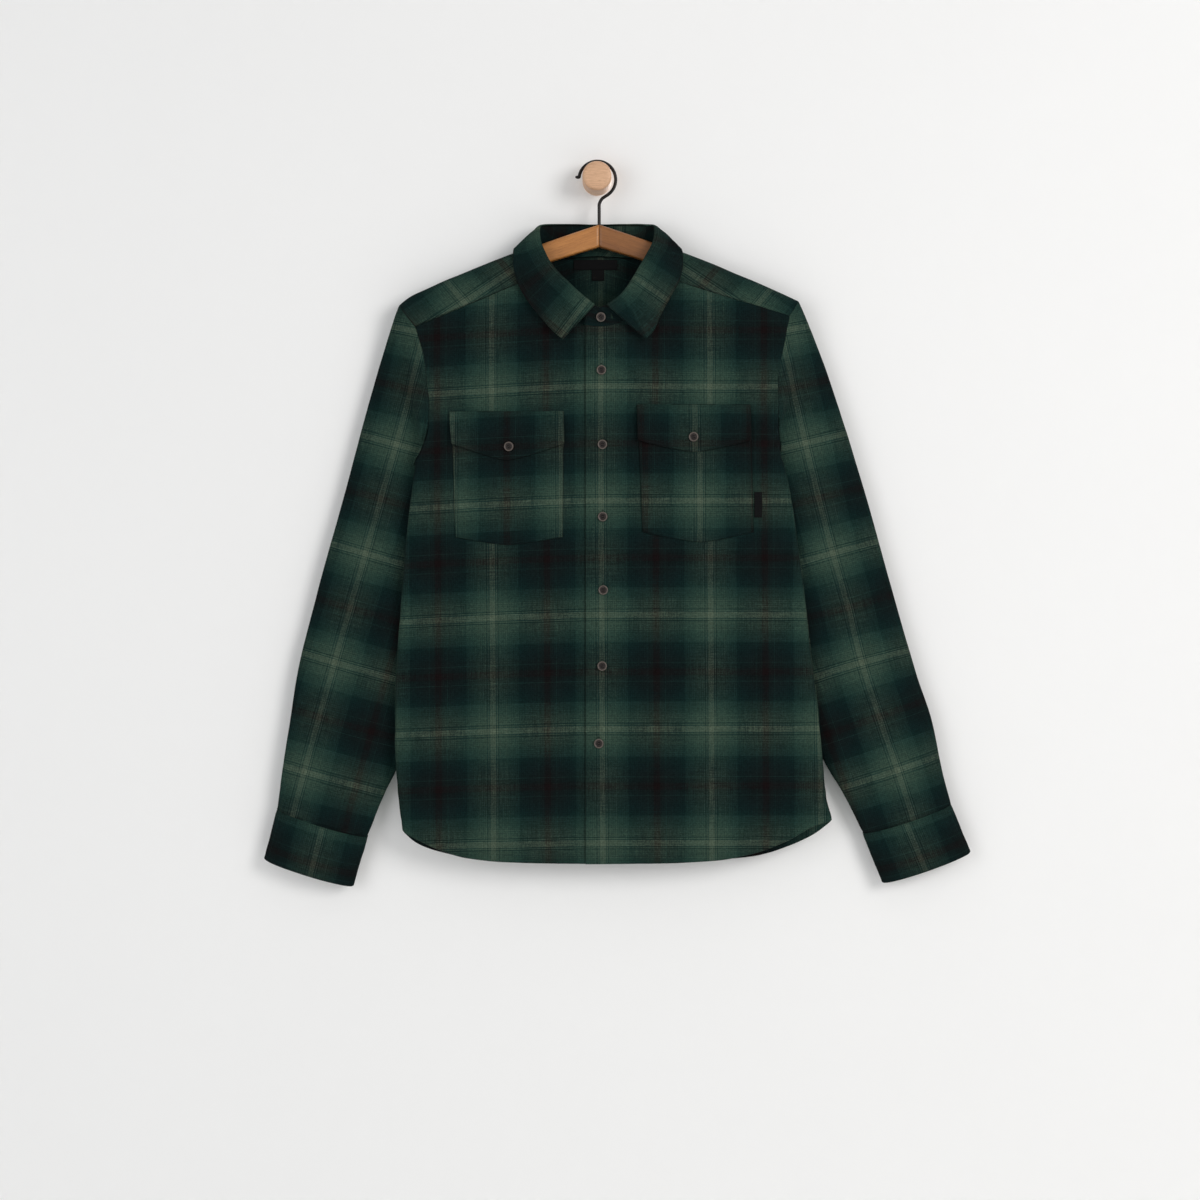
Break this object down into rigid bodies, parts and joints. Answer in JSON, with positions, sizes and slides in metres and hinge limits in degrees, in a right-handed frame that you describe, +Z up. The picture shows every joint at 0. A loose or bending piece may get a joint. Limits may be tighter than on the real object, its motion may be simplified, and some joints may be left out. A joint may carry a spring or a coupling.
{
  "type": "flannel shirt on a wooden hanger, hung from a wooden wall peg",
  "caption": "Green ombre-plaid flannel shirt with flap pockets, buttoned up on a wooden hanger that hangs from a round wooden wall peg.",
  "frame": {"origin": "middle of the wall peg's back face, on the wall", "axes": "+Z up, -Y out of the wall towards the viewer, +X to the viewer's right as the shirt faces them"},
  "size_m": [0.857, 0.0743, 0.8804],
  "materials": {
    "flannel_body": "brushed",
    "flannel_sleeve": "brushed",
    "flannel_trim": "brushed",
    "button_plastic": "satin",
    "label_black": "satin weave",
    "hanger_wood": "satin lacquer",
    "hook_wire": "dark bronzed",
    "peg_wood": "bare, sanded"
  },
  "bodies": {
    "root": {"front_left": "flannel_body", "front_right": "flannel_body", "back": "flannel_body", "yoke": "flannel_body", "sleeve_upper_left": "flannel_sleeve", "sleeve_upper_right": "flannel_sleeve", "sleeve_lower_left": "flannel_sleeve", "sleeve_lower_right": "flannel_sleeve", "sleeve_placket_left": "flannel_sleeve", "sleeve_placket_right": "flannel_sleeve", "cuff_left": "flannel_trim", "cuff_right": "flannel_trim", "collar_stand": "flannel_trim", "collar_leaf": "flannel_trim", "pocket_left": "flannel_trim", "pocket_right": "flannel_trim", "pocket_flap_left": "flannel_trim", "pocket_flap_right": "flannel_trim", "button_front_1": "button_plastic", "button_front_2": "button_plastic", "button_front_3": "button_plastic", "button_front_4": "button_plastic", "button_front_5": "button_plastic", "button_front_6": "button_plastic", "button_flap_left": "button_plastic", "button_flap_right": "button_plastic", "button_collar": "button_plastic", "button_cuff_left": "button_plastic", "button_cuff_right": "button_plastic", "label_neck": "label_black", "label_size": "label_black", "label_side": "label_black", "hanger_arm_left": "hanger_wood", "hanger_arm_right": "hanger_wood", "hanger_hook": "hook_wire", "wall_peg": "peg_wood"}
  },
  "joints": []
}
